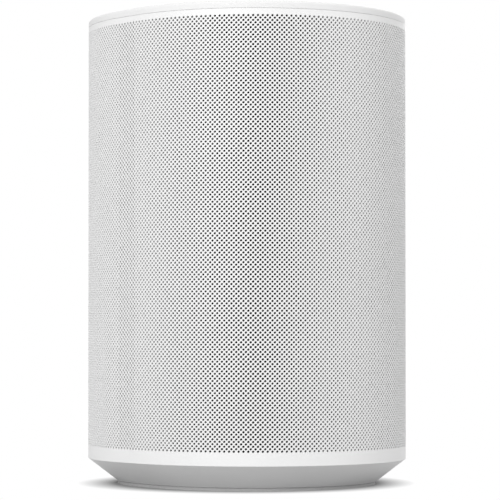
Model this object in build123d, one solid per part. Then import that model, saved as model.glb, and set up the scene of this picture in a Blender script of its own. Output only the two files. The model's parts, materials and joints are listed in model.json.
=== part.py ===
from build123d import *
import os
from math import asin, copysign, cos, pi, radians, sin, sqrt

# Smart speaker: a sealed box with one woofer and two angled tweeters, inside a perforated obround sleeve
# on a tapered base. Millimetres, +Z up, front towards -Y, origin at the middle of the foot's underside.

# Cabinet form
body_width = 119.4
side_flat = 10.4
body_height = 183.6
sleeve_wall = 2.4
field_wall = 1.0
bottom_rim = 5.0
top_rim = 2.1
rear_rim = 1.5
skirt_height = 8.7
skirt_inset = 11.35
skirt_floor = 2.5
foot_height = 1.3
foot_width = 9.0
foot_step = 0.6
foot_pocket = 0.8
cap_rim = 2.8
cap_plate = 2.2
cap_seam = 0.1
cap_edge_round = 1.0
lip_wall = 1.8
base_lip = 4.0
cap_lip = 1.8

# Perforation of the sleeve's thin field, at five times the real pitch and hole size
hole_radius = 2.0
holes_around = 44
hole_rows = 36
hole_margin = 0.3
cloth_thick = 0.3

# Clearances
slip = 0.15
seam = 0.3
bond_gap = 0.3
screw_play = 0.05
hole_play = 0.2
loose_play = 0.4
driver_clearance = 0.8

# Touch controls on the cap
trough_length = 46.0
trough_width = 9.0
trough_depth = 0.8
trough_round = 0.6
trough_forward = 6.0
light_radius = 1.0
light_forward = 22.0
light_flange = 1.0
mic_hole_radius = 0.6
mic_spread = 30.0
mic_forward = 30.0
mic_size = 3.6
mic_height = 1.1
touch_board_thick = 1.2
touch_board_margin = 1.5
cap_post_radius = 3.5
cap_post_spread = 32.0
cap_post_front = 24.0
cap_post_rear = 16.0

# Sealed box
box_wall = 3.0
box_gap = 1.6
box_lift = 2.0
cap_bay = 8.5
bay_depth = 37.9
gasket_thick = 1.0
boss_radius = 4.5
boss_spread = 46.5
boss_end_margin = 14.0
boss_front_depth = 14.5
boss_floor = 2.5
boss_seat = 8.0
web_thick = 3.0
pad_thick = 8.0
pad_width = 64.0
pad_margin = 20.0
rib_thick = 2.0
rib_height = 4.0

# Fasteners
screw_radius = 1.4
screw_head_radius = 2.6
screw_head_height = 2.0
base_screw_spread = 30.0
base_screw_front = 22.0
base_screw_rear = 15.0
base_screw_bite = 8.0
base_boss_height = 11.0
base_boss_seat = 2.0
small_screw_radius = 1.0
small_head_radius = 1.7
small_head_height = 1.3

# Woofer, heights measured forward from the baffle's face
woofer_side_room = 15.7
woofer_flange = 3.0
flange_ring = 7.8
motor_clearance = 3.4
basket_wall = 2.0
basket_share = 0.666
basket_back = 3.0
basket_back_radius = 28.5
basket_windows = 6
window_width = 20.0
window_top = 3.0
spider_share = 0.583
spider_seat_radius = 23.0
spider_seat_thick = 2.0
coil_radius = 13.3
coil_wire = 0.35
former_wall = 0.35
coil_gap = 0.35
coil_length = 9.0
former_tail = 3.0
plate_radius = 26.0
plate_thick = 5.0
magnet_radius = 31.0
magnet_hole = 17.0
magnet_chamfer = 0.6
yoke_radius = 27.0
yoke_thick = 5.0
pole_rise = 0.5
pole_vent = 4.0
cone_share = 0.375
cone_edge_room = 5.2
cone_paper = 0.8
cone_flare = 1.2
dust_cap_share = 0.12
dust_cap_rise = 5.0
dust_cap_paper = 0.6
roll_radius = 3.0
surround_skin = 0.5
surround_land = 2.4
spider_cloth = 0.5
spider_waves = 3
spider_wave_share = 0.25
woofer_gasket_height = 1.2
woofer_screws = 4
woofer_screw_inset = 2.4
woofer_screw_length = 8.0

# Tweeters, heights measured outward from their flats
tweeter_angle = 50.0
tweeter_radius = 22.0
tweeter_plate = 3.5
tweeter_edge_round = 0.8
flare_mouth = 17.2
flare_throat = 13.0
flare_lip = 0.8
dome_radius = 10.0
dome_rise = 4.0
dome_skin = 0.35
dome_level = 0.6
dome_former = 5.0
dome_former_wall = 0.3
dome_roll = 1.0
dome_land = 0.45
cup_radius = 14.0
cup_bore = 10.65
cup_depth = 13.0
cup_floor = 3.0
slug_radius = 8.6
slug_thick = 5.0
pole_plate_radius = 9.4
pole_plate_thick = 3.5
tweeter_screws = 3
tweeter_screw_inset = 2.4
tweeter_screw_seat = 1.8
tweeter_screw_length = 5.0

# Rear panel and ports, depths measured in from the rear surface
panel_width = 38.0
panel_flange = 4.0
panel_flange_wall = 1.6
panel_flange_overlap = 3.0
inlet_height = 27.0
inlet_recess = 2.4
inlet_pad_depth = 8.4
inlet_pad_width = 30.0
inlet_pad_height = 21.0
socket_width = 14.0
socket_height = 8.2
socket_depth = 12.0
socket_wall = 1.6
inlet_flange_width = 26.0
inlet_flange_height = 17.0
inlet_flange_thick = 2.0
inlet_back_wall = 4.0
pin_radius = 1.15
pin_round = 0.7
pin_spacing = 8.6
pin_length = 8.0
pin_tail = 6.0
port_board_depth = 12.0
port_board_width = 28.0
port_board_thick = 1.4
port_board_margin = 8.0
port_post_radius = 2.6
port_screw_spread = 10.5
port_screw_margin = 3.5
port_screw_bite = 5.0
usb_height = 52.0
usb_recess = 1.7
usb_width = 8.94
usb_thick = 3.26
usb_shell = 0.3
usb_socket_depth = 6.5
usb_tongue_width = 6.7
usb_tongue_thick = 0.7
usb_tongue_length = 4.6
switch_height = 70.0
switch_travel = 2.5
knob_width = 4.4
knob_height = 4.5
knob_recess = 0.5
knob_shield = 1.2
knob_shield_width = 7.0
knob_stem = 2.0
slider_body_width = 4.0
slider_body_height = 9.0
slider_body_depth = 4.0
button_height = 86.0
button_travel = 0.6
button_radius = 4.5
button_recess = 0.3
button_crown = 0.4
button_flange = 1.4
button_flange_thick = 1.2
button_plunger = 2.0
tact_size = 6.0
tact_depth = 3.4
tact_stem = 1.6
tact_stem_rise = 0.8
press_gap = 0.1

# Electronics bay
board_thick = 1.6
board_post = 4.0
board_post_radius = 3.0
board_post_margin = 4.0
main_board_width = 80.0
main_board_height = 70.0
power_board_width = 84.0
power_board_height = 62.0
sink_width = 36.0
sink_height = 28.0
sink_base = 2.0
sink_depth = 9.0
sink_fins = 7
sink_fin_thick = 1.2
sink_drop = 12.0
shield_width = 26.0
shield_height = 18.0
shield_depth = 2.4
shield_rise = 16.0
transformer_width = 20.0
transformer_height = 22.0
transformer_depth = 15.0
transformer_core = 6.0
bobbin_share = 0.7
transformer_side = 26.0
capacitor_radius = 5.0
capacitor_length = 14.0
capacitor_round = 0.6
capacitor_side = 26.0
capacitor_spacing = 14.0
antenna_width = 7.0
antenna_height = 30.0
antenna_thick = 0.8
antenna_inset = 13.7
ribbon_width = 13.0
ribbon_thick = 0.3
plug_width = 16.0
plug_depth = 4.0
plug_height = 3.0
plug_margin = 6.0

# Worked-out places
body_radius = body_width / 2
arc_centre = side_flat / 2
rear_surface = arc_centre + body_radius
sleeve_inner = body_radius - sleeve_wall
sleeve_bottom = foot_height + skirt_height
sleeve_top = body_height - cap_rim - cap_seam
field_inner = body_radius - field_wall
field_low = sleeve_bottom + bottom_rim
field_high = sleeve_top - top_rim
field_edge = panel_width / 2 + seam + panel_flange + rear_rim
quarter_arc = pi / 2 * body_radius
half_way_round = 2 * quarter_arc + side_flat
field_reach = half_way_round - body_radius * asin(field_edge / body_radius)
lip_outer = sleeve_inner - slip
lip_inner = lip_outer - lip_wall
cap_under = body_height - cap_plate
box_radius = sleeve_inner - box_gap
box_bottom = sleeve_bottom + base_lip + box_lift
box_top = sleeve_top - cap_bay
box_rear = rear_surface - bay_depth
box_height = box_top - box_bottom
woofer_radius = body_radius - woofer_side_room
driver_gap = (box_height - 2 * woofer_radius - 2 * tweeter_radius) / 4
woofer_height = box_bottom + driver_gap + woofer_radius
ledge = woofer_height + woofer_radius + driver_gap
tweeter_height = ledge + driver_gap + tweeter_radius
driver_reach = sleeve_inner - driver_clearance
woofer_stack = woofer_flange + woofer_gasket_height
baffle_face = -arc_centre - sqrt(driver_reach**2 - woofer_radius**2) + woofer_stack
tweeter_flat = sqrt(driver_reach**2 - tweeter_radius**2) - tweeter_plate
boss_heights = [box_bottom + boss_end_margin, ledge, box_top - boss_end_margin / 2 - boss_radius]
split_rear = gasket_thick / 2
split_front = -gasket_thick / 2
board_front = box_rear + board_post
board_rear = board_front + board_thick
bay_gap = (box_height - main_board_height - power_board_height) / 3
power_board_centre = box_bottom + bay_gap + power_board_height / 2
main_board_centre = box_top - bay_gap - main_board_height / 2
port_board_rear = rear_surface - port_board_depth
port_board_front = port_board_rear - port_board_thick
port_board_low = usb_height - port_board_margin
port_board_high = button_height + port_board_margin
touch_board_low = cap_under - touch_board_thick
far = 2 * body_height
left, right = -1, 1

base_screw_places = [
    (side * base_screw_spread, y) for side in (left, right) for y in (-base_screw_front, base_screw_rear)
]
cap_post_places = [
    (side * cap_post_spread, y) for side in (left, right) for y in (-cap_post_front, cap_post_rear)
]
mic_places = [(side * mic_spread, y) for side in (left, right) for y in (-mic_forward, mic_forward)]
boss_places = [(side * boss_spread, z) for side in (left, right) for z in boss_heights]
port_screw_places = [
    (side * port_screw_spread, z)
    for side in (left, right)
    for z in (port_board_low + port_screw_margin, port_board_high - port_screw_margin)
]


def tweeter_frame(side):
    """Plane of one tweeter's flat, facing outward."""
    turn = radians(tweeter_angle)
    outward = Vector(side * sin(turn), -cos(turn), 0)
    middle = Vector(0, -arc_centre, tweeter_height) + outward * tweeter_flat
    return Plane(origin=middle, x_dir=(cos(turn), side * sin(turn), 0), z_dir=outward)


woofer_frame = Plane(origin=(0, baffle_face, woofer_height), x_dir=(1, 0, 0), z_dir=(0, -1, 0))
tweeter_frames = {left: tweeter_frame(left), right: tweeter_frame(right)}


def obround(radius):
    """Plan section: round front and rear joined by straight sides."""
    return SlotCenterToCenter(side_flat, 2 * radius, rotation=90)


def obround_prism(radius, low, high):
    return Pos(0, 0, low) * extrude(obround(radius), high - low)


def obround_tube(outer, inner, low, high):
    return obround_prism(outer, low, high) - obround_prism(inner, low, high)


def rod(radius, low, high):
    return Pos(0, 0, low) * extrude(Circle(radius), high - low)


def ring(outer, inner, low, high):
    return Pos(0, 0, low) * extrude(Circle(outer) - Circle(inner), high - low)


def slab(across, deep, tall):
    """Box between pairs of limits along X, Y and Z."""
    low, high = zip(across, deep, tall)
    size = [b - a for a, b in zip(low, high)]
    return Pos(*low) * Box(*size, align=Align.MIN)


def turned(*edges):
    """Solid of revolution about Z from a closed outline given in radius and height."""
    return revolve(Plane.XZ * make_face(edges), Axis.Z)


def turned_outline(*points):
    return turned(*Polyline(*points, close=True).edges())


def dome_arc(radius, level, rise):
    """Arc of a spherical cap from its rim to its top, in radius and height."""
    ball = (radius**2 + rise**2) / (2 * rise)
    half_turn = asin(radius / ball) / 2
    middle = (ball * sin(half_turn), level + rise - ball + ball * cos(half_turn))
    return ThreePointArc((radius, level), middle, (0, level + rise))


def rearward(height):
    """Plane at a height on the rear, with its Z along +Y."""
    return Plane(origin=(0, 0, height), x_dir=(1, 0, 0), z_dir=(0, 1, 0))


def at_rear(x, z, solid):
    return rearward(z) * (Pos(x, 0, 0) * solid)


def screw(radius, head_radius, head_height, length):
    """Pan-head screw with its seat at zero and its shank towards -Z."""
    head = fillet(rod(head_radius, 0, head_height).edges().group_by(Axis.Z)[-1], head_height / 3)
    return head + rod(radius, -length, 0)


# Cabinet shells


def sleeve_ring():
    return obround_tube(body_radius, sleeve_inner, sleeve_bottom, sleeve_top)


def wall_frame(along, height):
    """Plane on the sleeve's outer face, a distance along the wall from the front's middle, facing outward."""
    reach = abs(along)
    side_run = min(max(reach - quarter_arc, 0), side_flat)
    turn = copysign((reach - side_run) / body_radius, along)
    outward = Vector(sin(turn), -cos(turn), 0)
    middle = Vector(0, side_run - arc_centre, height) + outward * body_radius
    return Plane(origin=middle, x_dir=(cos(turn), sin(turn), 0), z_dir=outward)


def perforation():
    """Round holes in staggered rows over the field."""
    pitch = 2 * half_way_round / holes_around
    row_step = (field_high - field_low) / hole_rows
    peg = rod(hole_radius, -sleeve_wall, sleeve_wall)
    pegs = []
    for row in range(hole_rows):
        height = field_low + (row + 1 / 2) * row_step
        shift = row % 2 / 2
        for column in range(-holes_around // 2, holes_around // 2):
            along = (column + shift) * pitch
            if abs(along) + hole_radius + hole_margin < field_reach:
                pegs.append(wall_frame(along, height) * peg)
    return pegs


def grille_sleeve():
    """Wrap-round sleeve, open down the back for the rear panel and thin in the field between its rims."""
    slot = panel_width / 2 + seam
    sleeve = sleeve_ring() - slab((-slot, slot), (0, far), (0, far))
    thinned = obround_tube(field_inner, sleeve_inner, field_low, field_high)
    sleeve -= thinned - slab((-field_edge, field_edge), (0, far), (0, far))
    return sleeve - perforation()


def acoustic_cloth():
    """Black cloth bonded inside the perforated field."""
    outer = field_inner - screw_play
    cloth = obround_tube(outer, outer - cloth_thick, field_low + slip, field_high - slip)
    edge = field_edge + slip
    return cloth - slab((-edge, edge), (0, far), (0, far))


def top_cap():
    rim_low = sleeve_top + cap_seam
    cap = obround_prism(body_radius, rim_low, body_height)
    cap = fillet(cap.edges().group_by(Axis.Z)[-1], cap_edge_round)
    cap -= obround_prism(lip_inner, rim_low, cap_under)
    cap += obround_tube(lip_outer, lip_inner, sleeve_top - cap_lip, rim_low)
    for x, y in cap_post_places:
        cap += Pos(x, y) * rod(cap_post_radius, box_top, cap_under)
    trough = Pos(0, -trough_forward, body_height - trough_depth) * extrude(
        SlotOverall(trough_length, trough_width), 2 * trough_depth
    )
    trough = fillet(trough.edges().group_by(Axis.Z)[0], trough_round)
    cap -= trough
    cap -= Pos(0, -light_forward) * rod(light_radius + screw_play, 0, far)
    for x, y in mic_places:
        cap -= Pos(x, y) * rod(mic_hole_radius, 0, far)
    return cap


def base_skirt():
    """Tapered tray with a lip that locates the sleeve and pillars that carry the sealed box."""
    wall = sleeve_wall + slip + lip_wall
    floor_top = foot_height + skirt_floor
    floor_inset = skirt_inset * (1 - skirt_floor / skirt_height)
    low, high = obround(body_radius - skirt_inset), obround(body_radius)
    tray = loft([Pos(0, 0, foot_height) * low, Pos(0, 0, sleeve_bottom) * high], ruled=True)
    low, high = obround(body_radius - floor_inset - wall), obround(body_radius - wall)
    tray -= loft([Pos(0, 0, floor_top) * low, Pos(0, 0, sleeve_bottom) * high], ruled=True)
    tray += obround_tube(lip_outer, lip_inner, sleeve_bottom, sleeve_bottom + base_lip)
    reach = body_radius - skirt_inset
    rib = rib_thick / 2
    for rib_bar in (
        slab((-reach, reach), (-rib, rib), (floor_top, floor_top + rib_height)),
        slab((-rib, rib), (-reach, reach), (floor_top, floor_top + rib_height)),
    ):
        tray += rib_bar & obround_prism(body_radius - floor_inset - wall / 2, 0, far)
    seat = floor_top + base_boss_seat
    for x, y in base_screw_places:
        tray += Pos(x, y) * rod(boss_radius, floor_top - skirt_floor / 2, box_bottom)
    for x, y in base_screw_places:
        tray -= Pos(x, y) * rod(screw_radius + hole_play, 0, far)
        tray -= Pos(x, y) * rod(screw_head_radius + loose_play, 0, seat)
    foot_outer = body_radius - skirt_inset - foot_step
    tray -= obround_tube(
        foot_outer + slip, foot_outer - foot_width - slip, foot_height, foot_height + foot_pocket
    )
    return tray


def base_screws():
    seat = foot_height + skirt_floor + base_boss_seat
    length = box_bottom - seat + base_screw_bite
    one = screw(screw_radius, screw_head_radius, screw_head_height, length)
    return [Pos(x, y, seat) * Rot(180, 0, 0) * one for x, y in base_screw_places]


def foot_ring():
    outer = body_radius - skirt_inset - foot_step
    return obround_tube(outer, outer - foot_width, 0, foot_height + foot_pocket)


# Sealed box


def box_form(inset):
    """Form of the sealed box with every face moved in by inset: round sides, a flat front for the woofer
    below the ledge and an angled flat for each tweeter above it."""
    form = obround_prism(box_radius - inset, box_bottom + inset, box_top - inset)
    form -= slab((-far, far), (-far, baffle_face + inset), (0, ledge + inset))
    form -= slab((-far, far), (box_rear - inset, far), (0, far))
    for frame in tweeter_frames.values():
        form -= frame * slab((-far, far), (ledge - inset - tweeter_height, far), (-inset, far))
    return form


def box_shell(front, rear):
    """Wall of the sealed box between two depths."""
    limits = slab((-far, far), (front, rear), (0, far))
    return (box_form(0) & limits) - box_form(box_wall)


def box_bosses(front, rear):
    """Screw columns along the joint, each tied to the side wall by a web."""
    bosses = Part()
    for x, z in boss_places:
        bosses += at_rear(x, z, rod(boss_radius, front, rear))
        edges = sorted((x, x / abs(x) * box_radius))
        bosses += slab(edges, (front, rear), (z - web_thick / 2, z + web_thick / 2))
    return bosses & box_form(0)


def base_bosses():
    """Screw bosses that stand on the box's floor."""
    bosses = Part()
    for x, y in base_screw_places:
        bosses += Pos(x, y) * rod(boss_radius, box_bottom, box_bottom + base_boss_height)
    return bosses


def front_baffle():
    baffle = box_shell(-far, split_front) + box_bosses(-boss_front_depth, split_front)
    baffle += base_bosses() & slab((-far, far), (-far, split_front), (0, far))
    for x, y in woofer_screw_places():
        boss = woofer_frame * (Pos(x, y) * rod(boss_radius, -woofer_screw_length, 0))
        baffle += boss & box_form(0)
    baffle -= woofer_frame * rod(woofer_throat + basket_wall / 2 + loose_play, -woofer_screw_length, 0)
    for x, y in woofer_screw_places():
        baffle -= woofer_frame * (Pos(x, y) * rod(screw_radius + screw_play, -woofer_screw_length, 0))
    for frame in tweeter_frames.values():
        baffle -= frame * rod(cup_radius + loose_play, -2 * box_wall, far)
        for x, y in tweeter_screw_places():
            baffle -= frame * (Pos(x, y) * rod(small_screw_radius + screw_play, -2 * box_wall, far))
    for x, z in boss_places:
        baffle -= at_rear(x, z, rod(screw_radius + screw_play, boss_floor - boss_front_depth, split_front))
    for x, y in base_screw_places:
        baffle -= Pos(x, y) * rod(screw_radius + screw_play, 0, box_bottom + base_screw_bite)
    return baffle


def rear_enclosure():
    rear = box_shell(split_rear, far) + box_bosses(split_rear, box_rear)
    rear += base_bosses() & slab((-far, far), (split_rear, far), (0, far))
    for x, z in boss_places:
        rear -= at_rear(x, z, rod(screw_radius + hole_play, 0, far))
        rear -= at_rear(x, z, rod(screw_head_radius + loose_play, boss_seat, far))
    for x, y in base_screw_places:
        rear -= Pos(x, y) * rod(screw_radius + screw_play, 0, box_bottom + base_screw_bite)
    for x, z in board_post_places():
        rear += at_rear(x, z, rod(board_post_radius, box_rear, board_front))
    for x, z in board_post_places():
        rear -= at_rear(x, z, rod(small_screw_radius + screw_play, box_rear - box_wall / 2, board_front))
    return rear


def box_gasket():
    gasket = box_shell(split_front, split_rear) + box_bosses(split_front, split_rear)
    for x, z in boss_places:
        gasket -= at_rear(x, z, rod(screw_radius + hole_play, split_front, split_rear))
    return gasket


def box_screws():
    length = boss_seat + boss_front_depth - 2 * boss_floor
    one = screw(screw_radius, screw_head_radius, screw_head_height, length)
    return [at_rear(x, z, Pos(0, 0, boss_seat) * one) for x, z in boss_places]


def damping_pad():
    wall = box_rear - box_wall
    tall = (box_bottom + pad_margin, box_top - pad_margin)
    return slab((-pad_width / 2, pad_width / 2), (wall - pad_thick, wall), tall)


# Woofer


def woofer_screw_places():
    spots = PolarLocations(woofer_screw_circle, woofer_screws, start_angle=180 / woofer_screws)
    return [tuple(spot.position)[:2] for spot in spots]


woofer_throat = woofer_radius - flange_ring
woofer_screw_circle = woofer_radius - woofer_screw_inset
cone_radius = woofer_throat - cone_edge_room
motor_room = box_rear - box_wall - pad_thick - motor_clearance - baffle_face
basket_magnet_room = motor_room - basket_back - plate_thick - yoke_thick
basket_depth = basket_share * basket_magnet_room
magnet_thick = basket_magnet_room - basket_depth
spider_level = spider_share * basket_depth
cone_neck = cone_share * basket_depth
plate_front = -basket_depth - basket_back
plate_back = plate_front - plate_thick
magnet_back = plate_back - magnet_thick
former_outer = coil_radius - coil_wire
former_inner = former_outer - former_wall
roll_centre = cone_radius + roll_radius
roll_outer = cone_radius + 2 * roll_radius


def woofer_basket():
    """Pressed frame: flange, spoked cone wall, spider ledge and the ring that carries the motor."""
    outer = woofer_throat + basket_wall / 2
    back_inner = basket_back_radius - basket_wall
    basket = turned_outline(
        (woofer_radius, 0),
        (woofer_radius, woofer_flange),
        (woofer_throat, woofer_flange),
        (woofer_throat - basket_wall / 2, 0),
        (back_inner, -basket_depth),
        (plate_radius - plate_thick, -basket_depth),
        (plate_radius - plate_thick, plate_front),
        (basket_back_radius, plate_front),
        (basket_back_radius, -basket_depth),
        (outer, 0),
    )
    slope = (outer - basket_back_radius) / basket_depth
    seat_outer = outer - slope * spider_level - basket_wall / 2
    basket += ring(seat_outer, spider_seat_radius, -spider_level - spider_seat_thick, -spider_level)
    window_low = -spider_level + window_top
    for spot in PolarLocations(outer, basket_windows):
        tall = (window_low, -window_top)
        basket -= spot * slab((-outer / 2, outer / 2), (-window_width / 2, window_width / 2), tall)
    for x, y in woofer_screw_places():
        basket -= Pos(x, y) * rod(screw_radius + hole_play, 0, woofer_flange)
    return woofer_frame * basket


def woofer_gasket():
    inner = roll_outer + surround_land + slip
    gasket = ring(woofer_radius, inner, woofer_flange, woofer_stack)
    for x, y in woofer_screw_places():
        gasket -= Pos(x, y) * rod(screw_radius + hole_play, woofer_flange, woofer_stack)
    return woofer_frame * gasket


def woofer_fixings():
    length = woofer_stack + woofer_screw_length - boss_floor
    one = screw(screw_radius, screw_head_radius - hole_play, screw_head_height, length)
    return [woofer_frame * (Pos(x, y, woofer_stack) * one) for x, y in woofer_screw_places()]


def woofer_top_plate():
    return woofer_frame * ring(plate_radius, coil_radius + coil_gap, plate_back, plate_front)


def woofer_magnet():
    ferrite = ring(magnet_radius, magnet_hole, magnet_back, plate_back)
    return woofer_frame * chamfer(ferrite.edges().filter_by(GeomType.CIRCLE), magnet_chamfer)


def woofer_yoke():
    yoke = rod(yoke_radius, magnet_back - yoke_thick, magnet_back)
    yoke += rod(former_inner - coil_gap, magnet_back, plate_front + pole_rise)
    yoke -= rod(pole_vent, magnet_back - yoke_thick, plate_front + pole_rise)
    return woofer_frame * yoke


def cone_curve():
    """Front of the cone from its neck to its edge, in radius and height."""
    neck = Vector(coil_radius, -cone_neck)
    edge = Vector(cone_radius, woofer_flange - bond_gap)
    middle = (neck + edge) * 0.5 - Vector(0, cone_flare)
    return ThreePointArc(neck, middle, edge)


def woofer_cone():
    front = cone_curve()
    back = Pos(0, -cone_paper) * front
    neck = Line(front @ 0, back @ 0)
    edge = Line(front @ 1, back @ 1)
    return woofer_frame * turned(front, edge, back, neck)


def woofer_dust_cap():
    rim = cone_curve() @ dust_cap_share + Vector(0, slip)
    outer = dome_arc(rim.X, rim.Y, dust_cap_rise)
    inner = dome_arc(rim.X - dust_cap_paper, rim.Y, dust_cap_rise - dust_cap_paper)
    return woofer_frame * turned(outer, Line(outer @ 1, inner @ 1), inner, Line(inner @ 0, outer @ 0))


def woofer_voice_coil():
    """Coil wound on a thin former that reaches from the magnet's gap to the cone's neck."""
    middle = (plate_front + plate_back) / 2
    coil_low = middle - coil_length / 2
    former = ring(former_outer, former_inner, coil_low - former_tail, -cone_neck + slip)
    coil = ring(coil_radius, former_inner, coil_low, coil_low + coil_length)
    return woofer_frame * (former + coil)


def woofer_surround():
    """Half-roll rubber edge between the cone and the basket's flange."""
    low, high = woofer_flange, woofer_flange + surround_skin
    inner, outer = cone_radius - surround_land, roll_outer + surround_land
    inside = roll_radius - surround_skin
    crown = low + roll_radius
    roll = ThreePointArc(
        (roll_centre - roll_radius, high),
        (roll_centre, crown + surround_skin),
        (roll_centre + roll_radius, high),
    )
    under = ThreePointArc((roll_centre - inside, low), (roll_centre, crown), (roll_centre + inside, low))
    lands = Polyline(roll @ 1, (outer, high), (outer, low), under @ 1).edges()
    inner_lands = Polyline(under @ 0, (inner, low), (inner, high), roll @ 0).edges()
    return woofer_frame * turned(roll, *lands, under, *inner_lands)


def woofer_spider():
    """Corrugated cloth disc that centres the coil, glued to the basket's ledge."""
    start, end = coil_radius + bond_gap, spider_seat_radius
    half = (end - start) / (2 * spider_waves)
    waves = []
    for n in range(2 * spider_waves):
        crest = half * (spider_wave_share if n % 2 == 0 else -spider_wave_share)
        a = start + n * half
        waves.append(ThreePointArc((a, 0), (a + half / 2, crest), (a + half, 0)))
    upper = [Pos(0, spider_cloth) * wave for wave in waves]
    rim_width = surround_land
    rim = Polyline(
        (end, 0), (end + rim_width, 0), (end + rim_width, spider_cloth), (end, spider_cloth)
    ).edges()
    neck = Line((start, 0), (start, spider_cloth))
    cloth = turned(*waves, *rim, *upper, neck)
    return woofer_frame * (Pos(0, 0, -spider_level) * cloth)


# Tweeters


def tweeter_screw_places():
    spots = PolarLocations(tweeter_radius - tweeter_screw_inset, tweeter_screws, start_angle=90)
    return [tuple(spot.position)[:2] for spot in spots]


def tweeter_waveguide(side):
    """Round faceplate whose flare opens from the dome to the front."""
    flare = ThreePointArc(
        (flare_mouth, tweeter_plate),
        ((flare_mouth + 2 * flare_throat) / 3, (flare_lip + tweeter_plate) / 2),
        (flare_throat, flare_lip),
    )
    rim = Polyline(
        (flare_throat, flare_lip),
        (flare_throat, 0),
        (tweeter_radius, 0),
        (tweeter_radius, tweeter_plate),
        (flare_mouth, tweeter_plate),
    ).edges()
    plate = turned(flare, *rim)
    outside = plate.edges().filter_by(GeomType.CIRCLE).group_by(Axis.Z)[-1].sort_by(SortBy.RADIUS)[-1]
    plate = fillet(outside, tweeter_edge_round)
    for x, y in tweeter_screw_places():
        plate -= Pos(x, y) * rod(small_screw_radius + hole_play, 0, tweeter_plate)
        plate -= Pos(x, y) * rod(small_head_radius + hole_play, tweeter_screw_seat, tweeter_plate)
    return tweeter_frames[side] * plate


def tweeter_dome(side):
    """Soft dome with its voice-coil former."""
    outer = dome_arc(dome_radius, dome_level, dome_rise)
    inner = dome_arc(dome_radius - dome_skin, dome_level, dome_rise - dome_skin)
    dome = turned(outer, Line(outer @ 1, inner @ 1), inner, Line(inner @ 0, outer @ 0))
    dome += ring(dome_radius, dome_radius - dome_former_wall, -dome_former, dome_level)
    return tweeter_frames[side] * dome


def tweeter_surround(side):
    """Half-roll edge glued to the cup's face."""
    low, high = 0, dome_skin
    start = dome_radius + bond_gap
    middle = start + dome_roll
    end = middle + dome_roll
    inside = dome_roll - dome_skin
    roll = ThreePointArc((start, high), (middle, high + dome_roll), (end, high))
    under = ThreePointArc((middle - inside, low), (middle, low + dome_roll), (middle + inside, low))
    land = Polyline(roll @ 1, (end + dome_land, high), (end + dome_land, low), under @ 1).edges()
    neck = Polyline(under @ 0, (start, low), roll @ 0).edges()
    return tweeter_frames[side] * turned(roll, *land, under, *neck)


def tweeter_cup(side):
    cup = rod(cup_radius, -cup_depth, 0) - rod(cup_bore, cup_floor - cup_depth, 0)
    cup = fillet(cup.edges().group_by(Axis.Z)[0], cup_floor / 3)
    return tweeter_frames[side] * cup


def tweeter_magnet(side):
    floor = cup_floor - cup_depth
    return tweeter_frames[side] * rod(slug_radius, floor, floor + slug_thick)


def tweeter_pole_plate(side):
    low = cup_floor - cup_depth + slug_thick
    return tweeter_frames[side] * rod(pole_plate_radius, low, low + pole_plate_thick)


def tweeter_fixings():
    one = screw(small_screw_radius, small_head_radius, small_head_height, tweeter_screw_length)
    return [
        frame * (Pos(x, y, tweeter_screw_seat) * one)
        for frame in tweeter_frames.values()
        for x, y in tweeter_screw_places()
    ]


# Rear panel and its controls


def rear_panel():
    """Smooth strip down the back, with edge flanges behind the sleeve and a flat pad for the inlet."""
    half = panel_width / 2
    panel = sleeve_ring() & slab((-half, half), (0, far), (0, far))
    flange_low = sleeve_bottom + base_lip + slip
    flange_high = sleeve_top - cap_lip - slip
    flange_inner = sleeve_inner - slip - panel_flange_wall
    behind = obround_tube(sleeve_inner - slip, flange_inner, flange_low, flange_high)
    within = obround_tube(sleeve_inner, flange_inner, flange_low, flange_high)
    for side in (left, right):
        root = sorted((side * (half - panel_flange_overlap), side * half))
        edge = sorted((side * half, side * (half + panel_flange)))
        panel += within & slab(root, (0, far), (0, far))
        panel += behind & slab(edge, (0, far), (0, far))
    inside = obround_prism(sleeve_inner + slip, 0, far)
    pad = slab(
        (-inlet_pad_width / 2, inlet_pad_width / 2),
        (rear_surface - inlet_pad_depth, far),
        (inlet_height - inlet_pad_height / 2, inlet_height + inlet_pad_height / 2),
    )
    panel += pad & inside
    for x, z in port_screw_places:
        panel += at_rear(x, z, rod(port_post_radius, port_board_rear, rear_surface)) & inside
    pilot = rod(small_screw_radius + screw_play, port_board_rear, port_board_rear + port_screw_bite)
    for x, z in port_screw_places:
        panel -= at_rear(x, z, pilot)
    nose_wall = socket_wall + seam
    nose = SlotOverall(socket_width + 2 * nose_wall, socket_height + 2 * nose_wall)
    panel -= rearward(inlet_height) * extrude(nose, far)
    panel -= rearward(usb_height) * extrude(SlotOverall(usb_width + 2 * seam, usb_thick + 2 * seam), far)
    slot_height = knob_height + switch_travel + 2 * seam
    slot_middle = switch_height - switch_travel / 2
    panel -= slab(
        (-knob_width / 2 - seam, knob_width / 2 + seam),
        (0, far),
        (slot_middle - slot_height / 2, slot_middle + slot_height / 2),
    )
    panel -= rearward(button_height) * rod(button_radius + seam, 0, far)
    return panel


def mains_inlet():
    """Two-pin inlet: socket nose through the panel, flange against the panel's pad, closed body behind."""
    front = rear_surface - inlet_recess
    pad = rear_surface - inlet_pad_depth
    back = front - socket_depth - inlet_back_wall
    nose = SlotOverall(socket_width + 2 * socket_wall, socket_height + 2 * socket_wall)
    body = Pos(0, 0, back) * extrude(nose, front - back)
    flange = RectangleRounded(inlet_flange_width, inlet_flange_height, inlet_flange_thick)
    body += Pos(0, 0, pad - inlet_flange_thick) * extrude(flange, inlet_flange_thick)
    body -= Pos(0, 0, front - socket_depth) * extrude(SlotOverall(socket_width, socket_height), far)
    for side in (left, right):
        body -= Pos(side * pin_spacing / 2, 0) * rod(pin_radius, back, front)
    return rearward(inlet_height) * body


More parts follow.
